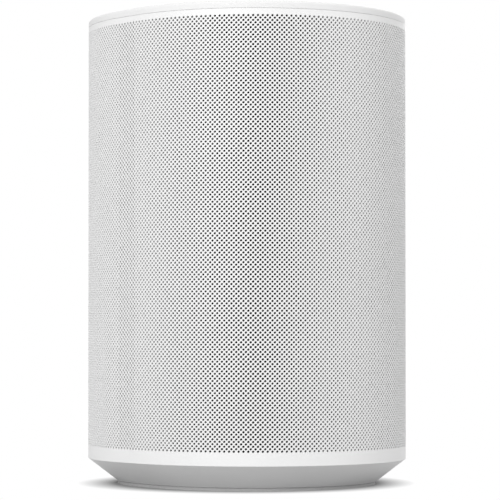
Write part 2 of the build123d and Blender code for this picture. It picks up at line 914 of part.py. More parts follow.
def inlet_pins():
    back = rear_surface - inlet_recess - socket_depth
    low, high = back - inlet_back_wall - pin_tail, back + pin_length
    pin = fillet(rod(pin_radius, low, high).edges().group_by(Axis.Z)[-1], pin_round)
    return [at_rear(side * pin_spacing / 2, inlet_height, pin) for side in (left, right)]


def port_board():
    half = port_board_width / 2
    board = slab((-half, half), (port_board_front, port_board_rear), (port_board_low, port_board_high))
    for x, z in port_screw_places:
        board -= at_rear(x, z, rod(small_screw_radius + hole_play, 0, far))
    return board


def port_board_screws():
    length = port_board_thick + port_screw_bite - seam
    one = screw(small_screw_radius, small_head_radius, small_head_height, length)
    return [at_rear(x, z, Pos(0, 0, port_board_front) * Rot(180, 0, 0) * one) for x, z in port_screw_places]


def usb_port():
    """Upright USB-C receptacle: metal shell, closed at the back, with its tongue."""
    front = rear_surface - usb_recess
    floor = front - usb_socket_depth
    shell = Pos(0, 0, port_board_rear) * extrude(SlotOverall(usb_width, usb_thick), front - port_board_rear)
    socket = SlotOverall(usb_width - 2 * usb_shell, usb_thick - 2 * usb_shell)
    shell -= Pos(0, 0, floor) * extrude(socket, usb_socket_depth)
    shell += Pos(0, 0, floor) * extrude(Rectangle(usb_tongue_width, usb_tongue_thick), usb_tongue_length)
    return rearward(usb_height) * shell


def slide_switch():
    """Body of the microphone switch, centred on the knob's travel."""
    middle = switch_height - switch_travel / 2
    half, tall = slider_body_width / 2, slider_body_height / 2
    body = slab(
        (-half, half), (port_board_rear, port_board_rear + slider_body_depth), (middle - tall, middle + tall)
    )
    return body


def mic_switch_knob():
    """Knob, dust shield behind the panel's slot and stem to the switch, at the top of its travel."""
    shield_rear = arc_centre + sqrt(sleeve_inner**2 - (knob_shield_width / 2) ** 2) - seam
    shield_front = shield_rear - knob_shield
    shield_tall = knob_height + 2 * switch_travel + 4 * seam
    knob = Pos(0, 0, shield_rear) * extrude(
        RectangleRounded(knob_width, knob_height, knob_width / 4), rear_surface - knob_recess - shield_rear
    )
    knob = fillet(knob.edges().group_by(Axis.Z)[-1], knob_recess)
    knob += Pos(0, 0, shield_front) * extrude(Rectangle(knob_shield_width, shield_tall), knob_shield)
    stem_end = port_board_rear + slider_body_depth + bond_gap
    knob += Pos(0, 0, stem_end) * extrude(Rectangle(knob_stem, knob_stem), shield_front - stem_end)
    return rearward(switch_height) * knob


def tact_switch():
    half = tact_size / 2
    body = Pos(0, 0, port_board_rear) * extrude(Rectangle(2 * half, 2 * half), tact_depth)
    top = port_board_rear + tact_depth
    return rearward(button_height) * (body + rod(tact_stem, top, top + tact_stem_rise))


def pairing_button():
    """Round push button with a keeper flange behind the panel and a plunger over the tact switch."""
    flange_radius = button_radius + button_flange
    flange_rear = arc_centre + sqrt(sleeve_inner**2 - flange_radius**2) - seam
    flange_front = flange_rear - button_flange_thick
    cap = rod(button_radius, flange_rear, rear_surface - button_recess)
    cap = fillet(cap.edges().group_by(Axis.Z)[-1], button_crown)
    plunger_end = port_board_rear + tact_depth + tact_stem_rise + button_travel + press_gap
    button = cap + rod(flange_radius, flange_front, flange_rear)
    button += rod(button_plunger, plunger_end, flange_front)
    return rearward(button_height) * button


# Boards and wiring


def board_corners(width, height, centre):
    x, z = width / 2 - board_post_margin, height / 2 - board_post_margin
    return [(side * x, centre + end * z) for side in (left, right) for end in (-1, 1)]


def board_post_places():
    return board_corners(main_board_width, main_board_height, main_board_centre) + board_corners(
        power_board_width, power_board_height, power_board_centre
    )


def circuit_board(width, height, centre):
    board = slab(
        (-width / 2, width / 2), (board_front, board_rear), (centre - height / 2, centre + height / 2)
    )
    for x, z in board_corners(width, height, centre):
        board -= at_rear(x, z, rod(small_screw_radius + hole_play, board_front, board_rear))
    return board


def main_board():
    return circuit_board(main_board_width, main_board_height, main_board_centre)


def power_board():
    return circuit_board(power_board_width, power_board_height, power_board_centre)


def board_screws():
    one = screw(small_screw_radius, small_head_radius, small_head_height, board_thick + board_post)
    return [at_rear(x, z, Pos(0, 0, board_rear) * one) for x, z in board_post_places()]


def amplifier_heatsink():
    middle = main_board_centre - sink_drop
    tall = (middle - sink_height / 2, middle + sink_height / 2)
    sink = slab((-sink_width / 2, sink_width / 2), (board_rear, board_rear + sink_base), tall)
    pitch = (sink_width - sink_fin_thick) / (sink_fins - 1)
    for n in range(sink_fins):
        x = -sink_width / 2 + n * pitch
        sink += slab((x, x + sink_fin_thick), (board_rear, board_rear + sink_depth), tall)
    return sink


def processor_shield():
    middle = main_board_centre + shield_rise
    can = slab(
        (-shield_width / 2, shield_width / 2),
        (board_rear, board_rear + shield_depth),
        (middle - shield_height / 2, middle + shield_height / 2),
    )
    return chamfer(can.edges().group_by(Axis.Y)[-1], shield_depth / 4)


def power_transformer():
    """Wound bobbin inside a squared ferrite core."""
    half, core = transformer_width / 2, transformer_core / 2
    middle = power_board_centre
    core_block = slab(
        (-half, half), (board_rear, board_rear + transformer_depth), (middle - core, middle + core)
    )
    winding = RectangleRounded(bobbin_share * transformer_width, bobbin_share * transformer_depth, core)
    bobbin = extrude(winding, transformer_height / 2, both=True)
    bobbin = Pos(0, board_rear + transformer_depth / 2, middle) * bobbin
    return Pos(-transformer_side, 0, 0) * (core_block + bobbin)


def bulk_capacitors():
    can = rod(capacitor_radius, board_rear, board_rear + capacitor_length)
    can = fillet(can.edges().group_by(Axis.Z)[-1], capacitor_round)
    return [
        at_rear(capacitor_side, power_board_centre + end * capacitor_spacing / 2, can) for end in (-1, 1)
    ]


def radio_antennas():
    half = antenna_width / 2
    tall = (main_board_centre - antenna_height / 2, main_board_centre + antenna_height / 2)
    strip = slab((-half, half), (box_rear, box_rear + antenna_thick), tall)
    reach = body_radius - antenna_inset
    return [Pos(side * reach, 0, 0) * strip for side in (left, right)]


def touch_board():
    board = obround_prism(lip_inner - touch_board_margin, touch_board_low, cap_under)
    for x, y in cap_post_places:
        board -= Pos(x, y) * rod(cap_post_radius + loose_play, 0, far)
    for x, y in mic_places:
        board -= Pos(x, y) * rod(mic_hole_radius, 0, far)
    return board - Pos(0, -light_forward) * rod(light_radius + loose_play, 0, far)


def microphones():
    half = mic_size / 2
    can = slab((-half, half), (-half, half), (touch_board_low - mic_height, touch_board_low))
    return [Pos(x, y) * can for x, y in mic_places]


def light_pipe():
    pipe = rod(light_radius, touch_board_low, body_height - slip)
    pipe += rod(2 * light_radius, touch_board_low - light_flange, touch_board_low)
    return Pos(0, -light_forward) * pipe


ribbon_plug_top = main_board_centre + main_board_height / 2 - plug_margin
ribbon_plug_rear = board_rear + plug_depth


def ribbon_plugs():
    half = plug_width / 2
    deep = (board_rear, ribbon_plug_rear)
    lower = slab((-half, half), deep, (ribbon_plug_top - plug_height, ribbon_plug_top))
    upper = slab((-half, half), deep, (touch_board_low - plug_height, touch_board_low))
    return [lower, upper]


def touch_ribbon():
    middle = (board_rear + ribbon_plug_rear) / 2
    deep = (middle - ribbon_thick / 2, middle + ribbon_thick / 2)
    half = ribbon_width / 2
    return slab((-half, half), deep, (ribbon_plug_top, touch_board_low - plug_height))


nodes = {
    "grille_sleeve": grille_sleeve(),
    "acoustic_cloth": acoustic_cloth(),
    "rear_panel": rear_panel(),
    "top_cap": top_cap(),
    "base_skirt": base_skirt(),
    "base_screws": base_screws(),
    "foot_ring": foot_ring(),
    "front_baffle": front_baffle(),
    "rear_enclosure": rear_enclosure(),
    "box_gasket": box_gasket(),
    "box_screws": box_screws(),
    "damping_pad": damping_pad(),
    "woofer_basket": woofer_basket(),
    "woofer_gasket": woofer_gasket(),
    "woofer_screws": woofer_fixings(),
    "woofer_top_plate": woofer_top_plate(),
    "woofer_magnet": woofer_magnet(),
    "woofer_yoke": woofer_yoke(),
    "woofer_cone": woofer_cone(),
    "woofer_dust_cap": woofer_dust_cap(),
    "woofer_voice_coil": woofer_voice_coil(),
    "woofer_surround": woofer_surround(),
    "woofer_spider": woofer_spider(),
    "tweeter_screws": tweeter_fixings(),
    "mains_inlet": mains_inlet(),
    "inlet_pins": inlet_pins(),
    "port_board": port_board(),
    "port_board_screws": port_board_screws(),
    "usb_port": usb_port(),
    "slide_switch": slide_switch(),
    "mic_switch_knob": mic_switch_knob(),
    "tact_switch": tact_switch(),
    "pairing_button": pairing_button(),
    "main_board": main_board(),
    "power_board": power_board(),
    "board_screws": board_screws(),
    "amplifier_heatsink": amplifier_heatsink(),
    "processor_shield": processor_shield(),
    "power_transformer": power_transformer(),
    "bulk_capacitors": bulk_capacitors(),
    "radio_antennas": radio_antennas(),
    "touch_board": touch_board(),
    "microphones": microphones(),
    "light_pipe": light_pipe(),
    "ribbon_plugs": ribbon_plugs(),
    "touch_ribbon": touch_ribbon(),
}
for word, side in (("left", left), ("right", right)):
    nodes[f"tweeter_{word}_waveguide"] = tweeter_waveguide(side)
    nodes[f"tweeter_{word}_dome"] = tweeter_dome(side)
    nodes[f"tweeter_{word}_surround"] = tweeter_surround(side)
    nodes[f"tweeter_{word}_cup"] = tweeter_cup(side)
    nodes[f"tweeter_{word}_magnet"] = tweeter_magnet(side)
    nodes[f"tweeter_{word}_pole_plate"] = tweeter_pole_plate(side)

os.makedirs("parts", exist_ok=True)
for name, shape in nodes.items():
    solid = Compound(children=shape) if isinstance(shape, list) else shape
    export_step(solid, f"parts/{name}.step", write_pcurves=False)
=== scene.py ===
import json
import math

import bmesh
import bpy
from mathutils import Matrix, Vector


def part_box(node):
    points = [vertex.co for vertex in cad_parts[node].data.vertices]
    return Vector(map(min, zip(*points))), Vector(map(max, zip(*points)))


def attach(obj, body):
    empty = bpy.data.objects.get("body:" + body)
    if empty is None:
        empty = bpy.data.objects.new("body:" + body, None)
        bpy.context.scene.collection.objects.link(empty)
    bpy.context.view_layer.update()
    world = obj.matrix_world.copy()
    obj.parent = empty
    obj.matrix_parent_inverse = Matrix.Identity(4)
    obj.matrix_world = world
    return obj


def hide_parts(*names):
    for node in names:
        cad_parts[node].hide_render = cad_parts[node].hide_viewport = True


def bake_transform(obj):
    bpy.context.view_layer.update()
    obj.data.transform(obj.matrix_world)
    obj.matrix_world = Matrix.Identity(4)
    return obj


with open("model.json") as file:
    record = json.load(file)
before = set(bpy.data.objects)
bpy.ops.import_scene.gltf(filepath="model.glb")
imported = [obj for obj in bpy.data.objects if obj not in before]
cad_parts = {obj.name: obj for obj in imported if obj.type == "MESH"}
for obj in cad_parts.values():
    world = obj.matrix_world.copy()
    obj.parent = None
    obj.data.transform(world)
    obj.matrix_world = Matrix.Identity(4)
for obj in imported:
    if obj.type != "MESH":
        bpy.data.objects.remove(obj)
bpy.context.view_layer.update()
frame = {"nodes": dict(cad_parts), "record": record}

# Sizes in metres. The body's plan is an obround: two half circles joined by short flat sides.
MM = 0.001
cap_low, cap_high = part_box("top_cap")
sleeve_low, sleeve_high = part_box("grille_sleeve")
BODY_RADIUS = (cap_high.x - cap_low.x) / 2
SIDE_FLAT = (cap_high.y - cap_low.y) - 2 * BODY_RADIUS
QUARTER_ARC = math.pi * BODY_RADIUS / 2
PERIMETER = 4 * QUARTER_ARC + 2 * SIDE_FLAT
RIM_WALL = 2.4 * MM
FIELD_WALL = 1.0 * MM

# The sleeve stops at the rear panel's seam. Distances along the wall run from the front's middle.
PANEL_HALF = 19.0 * MM
PANEL_SEAM = 0.3 * MM
SLEEVE_END = PERIMETER / 2 - math.asin((PANEL_HALF + PANEL_SEAM) / BODY_RADIUS) * BODY_RADIUS
PLAIN_EDGE = 6.0 * MM

# Perforation: rows of round holes, each row half a pitch on from the one below it
HOLES_AROUND = 219
HOLE_PITCH = PERIMETER / HOLES_AROUND
HOLE_RADIUS = 0.49 * MM
HOLE_SIDES = 8
FIRST_ROW = 15.5 * MM
LAST_ROW = 178.0 * MM
ROWS = 181
ROW_STEP = (LAST_ROW - FIRST_ROW) / (ROWS - 1)
PATTERN_START = -44.06 * MM
FIRST_COLUMN = math.ceil((PLAIN_EDGE - SLEEVE_END - PATTERN_START) / HOLE_PITCH)
LAST_COLUMN = math.floor((SLEEVE_END - PLAIN_EDGE - PATTERN_START) / HOLE_PITCH - 0.5)
SLEEVE_PANELS = 9

# Camera, fitted to the photo
CAMERA_TURN = math.radians(-39.8)
CAMERA_REACH = 0.9525
CAMERA_HEIGHT = 61.16 * MM
CAMERA_TILT = math.radians(1.07)
CAMERA_LENS = 172.2
SENSOR_WIDTH = 36.0
NEAR_CLIP = 0.05
SHIFT_ACROSS = 0.00734
SHIFT_UP = 0.06814

# The floor's shadow fades out between these distances from the speaker's middle; near the speaker it is
# partly cast by the lamps and partly painted shadow in grey paint
SHADOW_NEAR = 52 * MM
SHADOW_FAR = 67 * MM

# Surroundings: a pale floor, painted grey under the speaker's overhang as a painted shadow and reading as
# white beyond it, and an even light from all round
FLOOR_HALF = 6.0
FLOOR_BOUNCE = "C2C2C2"
# Grey paint on the floor near the speaker: a painted shadow
FLOOR_SHADOW_PAINT = "909090"
SHADOW_GLOW = 0.08
ROOM_LIGHT = 0.5
BACKGROUND_LIGHT = 1.0
LIGHT_COLOUR = (1, 1, 1, 1)

# Softboxes: name, turn round the speaker in degrees, distance, height and side in metres, power in watts
SOFTBOXES = (
    ("key_softbox", -64.0, 1.6, 0.75, 1.2, 18.8),
    ("fill_softbox", 32.0, 1.6, 0.7, 1.2, 6.0),
    ("top_softbox", 0.0, 0.3, 1.8, 1.4, 3.0),
    ("rear_softbox", 125.0, 1.6, 0.9, 1.2, 9.0),
)
LAMP_AIM = 90 * MM

# Surface patterns: how far a colour takes to drift, how deep the grain is, and its share in the roughness
DRIFT_SIZE = 35 * MM
GRAIN_DEPTH = 0.05 * MM
ROUGHNESS_SPREAD = 0.05

# Meshes: points nearer than a merge distance become one, and edges past a sharp angle stay sharp
SKIN_MERGE = 0.001 * MM
CELL_MERGE = 0.002 * MM
SKIN_SHARP = math.radians(32)
WALL_SHARP = math.radians(40)
EDGE_STEPS = 4

# Colours, as they look in the photo under its own light
WHITE_SLEEVE = "EEEEEE"
# The cap is the same white as the sleeve, painted a little darker as painted shade to damp the light on its
# top edge
WHITE_CAP_PAINTED_SHADE = "EAEAEA"
# The base is the same white as the sleeve, painted darker as painted shade on its skirt, which faces down
# and away from the lamps
WHITE_BASE_PAINTED_SHADE = "DFDFDF"
FOOT_GREY = "B2B2B2"


def linear(hex_colour):
    """sRGB hex to a linear colour with full alpha."""
    parts = [int(hex_colour[i : i + 2], 16) / 255 for i in (0, 2, 4)]
    return tuple(c / 12.92 if c <= 0.04045 else ((c + 0.055) / 1.055) ** 2.4 for c in parts) + (1.0,)


def add_node(tree, kind, inputs=(), **settings):
    """Adds one node, sets its properties, and gives each named input a value or a link."""
    made = tree.nodes.new(kind)
    for name, value in settings.items():
        setattr(made, name, value)
    for socket, value in dict(inputs).items():
        if isinstance(value, bpy.types.NodeSocket):
            tree.links.new(value, made.inputs[socket])
        else:
            made.inputs[socket].default_value = value
    return made


def finish(
    name, colour, roughness, ior=1.5, grain_mm=0.6, mottle=0.015, bump=0.02, specular=0.5, metallic=0.0
):
    """A surface whose colour drifts a little over the piece, with a fine grain in its gloss and relief. The
    grain is drawn coarser than the real one so that it shows. The IOR is typical for the material, and a
    metal keeps the default."""
    material = bpy.data.materials.new(name)
    material.use_nodes = True
    tree = material.node_tree
    tree.nodes.clear()
    place = add_node(tree, "ShaderNodeTexCoord").outputs["Object"]
    grain = add_node(
        tree,
        "ShaderNodeTexNoise",
        {"Vector": place, "Scale": 1 / (grain_mm * MM), "Detail": 3.0, "Roughness": 0.6},
    ).outputs["Fac"]
    drift = add_node(tree, "ShaderNodeTexNoise", {"Vector": place, "Scale": 1 / DRIFT_SIZE, "Detail": 2.0})
    base = linear(colour)
    dark = tuple(c * (1 - mottle) for c in base[:3]) + (1.0,)
    light = tuple(min(1.0, c * (1 + mottle)) for c in base[:3]) + (1.0,)
    shade = add_node(
        tree, "ShaderNodeMix", {"Factor": drift.outputs["Fac"], 6: dark, 7: light}, data_type="RGBA"
    ).outputs[2]
    gloss = add_node(
        tree,
        "ShaderNodeMapRange",
        {"Value": grain, "To Min": roughness - ROUGHNESS_SPREAD, "To Max": roughness + ROUGHNESS_SPREAD},
    ).outputs["Result"]
    relief = add_node(
        tree, "ShaderNodeBump", {"Height": grain, "Strength": bump, "Distance": GRAIN_DEPTH}
    ).outputs["Normal"]
    skin = add_node(
        tree,
        "ShaderNodeBsdfPrincipled",
        {
            "Base Color": shade,
            "Roughness": gloss,
            "Normal": relief,
            "Metallic": metallic,
            "IOR": ior,
            "Specular IOR Level": specular,
        },
    )
    add_node(tree, "ShaderNodeOutputMaterial", {"Surface": skin.outputs["BSDF"]})
    return material


# Polycarbonate moulded in a spark-eroded tool: an even white with a soft sheen that shows the body's curve
sleeve_white = finish("polycarbonate_moulded_sleeve_white", WHITE_SLEEVE, 0.5, ior=1.58)
# The base's colour is darker than the sleeve's: painted shade on its skirt
base_white = finish("polycarbonate_moulded_base_white", WHITE_BASE_PAINTED_SHADE, 0.45, ior=1.58)
button_white = finish("polycarbonate_moulded_button_white", "E9E9E9", 0.45, ior=1.58)
# The same from a blasted tool: hardly any shine, so that the cap's rounded edge stays as pale as its side
# Its colour is a little darker than the sleeve's: painted shade on the cap's top edge
cap_white = finish("polycarbonate_blasted_cap_white", WHITE_CAP_PAINTED_SHADE, 0.55, ior=1.58, specular=0.2)
# Moulded silicone: a dull grey that sets the foot off from the base
foot_rubber = finish("silicone_moulded_foot_grey", FOOT_GREY, 0.75, ior=1.41, bump=0.05)
# Woven polyester: black without shine, so that the sleeve's holes read as dark dots
grille_cloth = finish(
    "polyester_woven_cloth_black", "0C0C0C", 0.95, ior=1.57, grain_mm=0.4, mottle=0.25, bump=0.2
)
# Moulded housings and rubber: deep black with a faint sheen on their edges
black_abs = finish("abs_moulded_black", "0B0B0C", 0.7, ior=1.54, mottle=0.1)
black_rubber = finish("butyl_rubber_moulded_black", "0A0A0A", 0.65, ior=1.51, mottle=0.1)
# Pressed pulp, felt and treated cloth: matt, with a fibre that breaks up the light
cone_pulp = finish(
    "paper_pulp_pressed_black", "101010", 0.85, ior=1.53, grain_mm=0.9, mottle=0.25, bump=0.2
)
felt_grey = finish("wool_felt_needled_grey", "2A2A2C", 0.95, ior=1.55, grain_mm=0.8, mottle=0.3, bump=0.4)
dome_cloth = finish(
    "silk_cloth_coated_black", "121213", 0.6, ior=1.54, grain_mm=0.25, mottle=0.15, bump=0.15
)
spider_cloth = finish(
    "cotton_cloth_resin_dipped_amber", "8A6A34", 0.8, ior=1.53, grain_mm=0.5, mottle=0.2, bump=0.3
)
# Moulded nylon: the inlet's mid grey sets its socket off from the white panel, and the switches are glossy
inlet_grey = finish("nylon_moulded_inlet_grey", "B9B9B9", 0.55, ior=1.53)
switch_black = finish("nylon_moulded_switch_black", "141414", 0.4, ior=1.53)
# Laminated epoxy under solder mask: dark green with a wet shine
board_green = finish("epoxy_laminated_board_green", "12301F", 0.4, ior=1.55, grain_mm=1.2, mottle=0.2)
# Shrunk film and drawn film: smooth and glossy
capacitor_blue = finish("pvc_film_shrunk_navy", "141A33", 0.35, ior=1.54)
ribbon_film = finish("polyester_film_drawn_white", "D8D8D8", 0.35, ior=1.57)
# Polished acrylic: the sharpest highlight on the part
pipe_acrylic = finish("acrylic_polished_pale", "DADADA", 0.12, ior=1.49, bump=0.01)
# Sintered ferrite: dark grey with a stony grain
ferrite_grey = finish("ferrite_sintered_grey", "2B2B2E", 0.6, ior=2.3, grain_mm=0.7, mottle=0.2, bump=0.2)
# Metals: mirror-like, dulled by fine scratches
zinc_steel = finish("steel_zinc_plated", "B8B8BA", 0.35, grain_mm=0.4, mottle=0.08, metallic=1.0)
black_steel = finish("steel_black_oxide", "1A1A1B", 0.5, grain_mm=0.4, mottle=0.08, metallic=1.0)
nickel_brass = finish("brass_nickel_plated", "C9C2AE", 0.28, grain_mm=0.4, mottle=0.08, metallic=1.0)
sink_aluminium = finish("aluminium_extruded", "C6C7C9", 0.4, grain_mm=0.4, mottle=0.08, metallic=1.0)
coil_copper = finish("copper_wire_wound", "B8863C", 0.4, grain_mm=0.4, mottle=0.08, metallic=1.0)

FINISHES = {
    "grille_sleeve": sleeve_white,
    "acoustic_cloth": grille_cloth,
    "rear_panel": sleeve_white,
    "top_cap": cap_white,
    "base_skirt": base_white,
    "foot_ring": foot_rubber,
    "pairing_button": button_white,
    "mic_switch_knob": button_white,
    "mains_inlet": inlet_grey,
    "inlet_pins": nickel_brass,
    "usb_port": zinc_steel,
    "base_screws": zinc_steel,
    "front_baffle": black_abs,
    "rear_enclosure": black_abs,
    "box_gasket": black_rubber,
    "box_screws": zinc_steel,
    "damping_pad": felt_grey,
    "woofer_basket": black_steel,
    "woofer_gasket": black_rubber,
    "woofer_screws": black_steel,
    "woofer_top_plate": zinc_steel,
    "woofer_magnet": ferrite_grey,
    "woofer_yoke": zinc_steel,
    "woofer_cone": cone_pulp,
    "woofer_dust_cap": cone_pulp,
    "woofer_voice_coil": coil_copper,
    "woofer_surround": black_rubber,
    "woofer_spider": spider_cloth,
    "tweeter_screws": black_steel,
    "port_board": board_green,
    "port_board_screws": zinc_steel,
    "slide_switch": switch_black,
    "tact_switch": switch_black,
    "main_board": board_green,
    "power_board": board_green,
    "board_screws": zinc_steel,
    "amplifier_heatsink": sink_aluminium,
    "processor_shield": zinc_steel,
    "power_transformer": ferrite_grey,
    "bulk_capacitors": capacitor_blue,
    "radio_antennas": board_green,
    "touch_board": board_green,
    "microphones": zinc_steel,
    "light_pipe": pipe_acrylic,
    "ribbon_plugs": switch_black,
    "touch_ribbon": ribbon_film,
}
for side in ("left", "right"):
    FINISHES[f"tweeter_{side}_waveguide"] = black_abs
    FINISHES[f"tweeter_{side}_dome"] = dome_cloth
    FINISHES[f"tweeter_{side}_surround"] = black_rubber
    FINISHES[f"tweeter_{side}_cup"] = zinc_steel
    FINISHES[f"tweeter_{side}_magnet"] = ferrite_grey
    FINISHES[f"tweeter_{side}_pole_plate"] = zinc_steel

# Pieces that show from outside get smooth-shaded skins over their solids
OUTER_NODES = (
    "top_cap",
    "base_skirt",
    "foot_ring",
    "rear_panel",
    "pairing_button",
    "mic_switch_knob",
    "mains_inlet",
    "inlet_pins",
    "usb_port",
)
behaviour = frame["record"]["behaviour"]
body_of_node = {node: body for body, nodes in behaviour["bodies"].items() for node in nodes}


def add_piece(name, mesh, node):
    """A piece that stands for a CAD node, which is hidden."""
    piece = bpy.data.objects.new(name, mesh)
    bpy.context.scene.collection.objects.link(piece)
    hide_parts(node)
    return piece


def smooth_skin(node):
    """A merged copy of a CAD solid, shaded smooth round its curves and sharp at its edges."""
    mesh = frame["nodes"][node].data.copy()
    mesh.name = node + "_skin"
    work = bmesh.new()
    work.from_mesh(mesh)
    bmesh.ops.remove_doubles(work, verts=work.verts, dist=SKIN_MERGE)
    work.to_mesh(mesh)
    work.free()
    if "custom_normal" in mesh.attributes:
        mesh.attributes.remove(mesh.attributes["custom_normal"])
    mesh.shade_smooth()
    mesh.set_sharp_from_angle(angle=SKIN_SHARP)
    return add_piece(node + "_skin", mesh, node)


def flexing_ring(node, axis):
    """A smooth-shaded skin over a ring's solid. Its points are laid out by their radius round the axis
    while its transform is applied, and then put back in their places."""
    ring = smooth_skin(node)
    low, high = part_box(node)
    places = [vertex.co.copy() for vertex in ring.data.vertices]
    spokes = [place - (low + high) / 2 for place in places]
    radii = [(spoke - spoke.dot(axis) * axis).length for spoke in spokes]
    for vertex, radius in zip(ring.data.vertices, radii):
        vertex.co = (radius, 0, 0)
    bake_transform(ring)
    for vertex, place in zip(ring.data.vertices, places):
        vertex.co = place


def hole_cell():
    """One hole in its patch of wall, laid flat: X along the wall, Y up, Z outward, with the outer face at
    zero. The patch's outline has a point at the middle of its top and bottom, where the next row's patches
    meet."""
    half, tall = HOLE_PITCH / 2, ROW_STEP / 2
    outline = [(half, -tall), (half, tall), (0, tall), (-half, tall), (-half, -tall), (0, -tall)]
    turns = [2 * math.pi * (n + 0.5) / HOLE_SIDES for n in range(HOLE_SIDES)]
    circle = [(HOLE_RADIUS * math.cos(turn), HOLE_RADIUS * math.sin(turn)) for turn in turns]
    corner_of = []
    for turn in turns:
        swings = [math.cos(turn - math.atan2(y, x)) for x, y in outline]
        corner_of.append(swings.index(max(swings)))
    edge, back = len(outline), len(outline) + HOLE_SIDES
    rim = [edge + n for n in range(HOLE_SIDES)]
    fan, walls = [], []
    for n in range(HOLE_SIDES):
        after = (n + 1) % HOLE_SIDES
        corner = corner_of[n]
        fan.append((rim[after], rim[n], corner))
        while corner != corner_of[after]:
            fan.append((rim[after], corner, (corner + 1) % edge))
            corner = (corner + 1) % edge
        walls.append((rim[n], rim[after], back + rim[after], back + rim[n]))
    inner = [tuple(back + vertex for vertex in reversed(face)) for face in fan]
    mesh = bpy.data.meshes.new("hole_cell")
    points = [(x, y, out) for out in (0, -FIELD_WALL) for x, y in outline + circle]
    mesh.from_pydata(points, [], fan + inner + walls)
    mesh.materials.append(sleeve_white)
    cell = bpy.data.objects.new("hole_cell", mesh)
    bpy.context.scene.collection.objects.link(cell)
    return cell


def wrap_steps(tree, flat):
    """Adds the maths that rolls a flat place (along, up, out) round the obround plan, and returns the
    place. Each step is its result's name, the operation, and two names or numbers."""
    parts = add_node(tree, "ShaderNodeSeparateXYZ", {"Vector": flat}).outputs
    found = {"along": parts["X"], "up": parts["Y"], "out": parts["Z"]}
    steps = (
        ("reach", "ABSOLUTE", "along", 0.0),
        ("past_front", "SUBTRACT", "reach", QUARTER_ARC),
        ("past_or_none", "MAXIMUM", "past_front", 0.0),
        ("side_run", "MINIMUM", "past_or_none", SIDE_FLAT),
        ("arc_run", "SUBTRACT", "reach", "side_run"),
        ("turn", "DIVIDE", "arc_run", BODY_RADIUS),
        ("hand", "SIGN", "along", 0.0),
        ("radius", "ADD", "out", BODY_RADIUS),
        ("sine", "SINE", "turn", 0.0),
        ("cosine", "COSINE", "turn", 0.0),
        ("aside", "MULTIPLY", "sine", "radius"),
        ("x", "MULTIPLY", "aside", "hand"),
        ("ahead", "MULTIPLY", "cosine", "radius"),
        ("run_back", "SUBTRACT", "side_run", SIDE_FLAT / 2),
        ("y", "SUBTRACT", "run_back", "ahead"),
    )
    for name, operation, first, second in steps:
        inputs = {0: found[first], 1: found.get(second, second)}
        found[name] = add_node(tree, "ShaderNodeMath", inputs, operation=operation).outputs[0]
    place = {"X": found["x"], "Y": found["y"], "Z": found["up"]}
    return add_node(tree, "ShaderNodeCombineXYZ", place).outputs["Vector"]


def perforation_tree(cell):
    """Geometry nodes that lay hole cells in staggered rows and roll them round the body."""
    tree = bpy.data.node_groups.new("perforated_wall", "GeometryNodeTree")
    tree.interface.new_socket("Geometry", in_out="OUTPUT", socket_type="NodeSocketGeometry")
    sockets = {}
    for name in ("First Column", "Columns", "Rows"):
        socket = tree.interface.new_socket(name, in_out="INPUT", socket_type="NodeSocketInt")
        sockets[name] = socket.identifier
    for name in ("Pitch", "Row Step", "First Row", "Start"):
        socket = tree.interface.new_socket(name, in_out="INPUT", socket_type="NodeSocketFloat")
        sockets[name] = socket.identifier
    given = add_node(tree, "NodeGroupInput").outputs
    found = {name: given[name] for name in sockets}
    found["index"] = add_node(tree, "GeometryNodeInputIndex").outputs["Index"]
    steps = (
        ("count", "MULTIPLY", "Columns", "Rows"),
        ("column", "MODULO", "index", "Columns"),
        ("row_share", "DIVIDE", "index", "Columns"),
        ("row", "FLOOR", "row_share", 0.0),
        ("odd", "MODULO", "row", 2.0),
        ("shift", "MULTIPLY", "odd", 0.5),
        ("from_first", "ADD", "column", "First Column"),
        ("shifted", "ADD", "from_first", "shift"),
        ("run", "MULTIPLY", "shifted", "Pitch"),
        ("along", "ADD", "run", "Start"),
        ("rise", "MULTIPLY", "row", "Row Step"),
        ("up", "ADD", "rise", "First Row"),
    )
    for name, operation, first, second in steps:
        inputs = {0: found[first], 1: found.get(second, second)}
        found[name] = add_node(tree, "ShaderNodeMath", inputs, operation=operation).outputs[0]
    spot = {"X": found["along"], "Y": found["up"]}
    centre = add_node(tree, "ShaderNodeCombineXYZ", spot).outputs["Vector"]
    points = add_node(tree, "GeometryNodePoints", {"Count": found["count"], "Position": centre})
    shape = add_node(tree, "GeometryNodeObjectInfo", {"Object": cell}).outputs["Geometry"]
    laid = add_node(
        tree, "GeometryNodeInstanceOnPoints", {"Points": points.outputs[0], "Instance": shape}
    ).outputs["Instances"]
    solid = add_node(tree, "GeometryNodeRealizeInstances", {"Geometry": laid}).outputs["Geometry"]
    joined = add_node(
        tree, "GeometryNodeMergeByDistance", {"Geometry": solid, "Distance": CELL_MERGE}
    ).outputs["Geometry"]
    flat = add_node(tree, "GeometryNodeInputPosition").outputs["Position"]
    wrapped = add_node(
        tree, "GeometryNodeSetPosition", {"Geometry": joined, "Position": wrap_steps(tree, flat)}
    ).outputs["Geometry"]
    moulded = add_node(tree, "GeometryNodeSetMaterial", {"Geometry": wrapped, "Material": sleeve_white})
    add_node(tree, "NodeGroupOutput", {"Geometry": moulded.outputs["Geometry"]})
    return tree, sockets


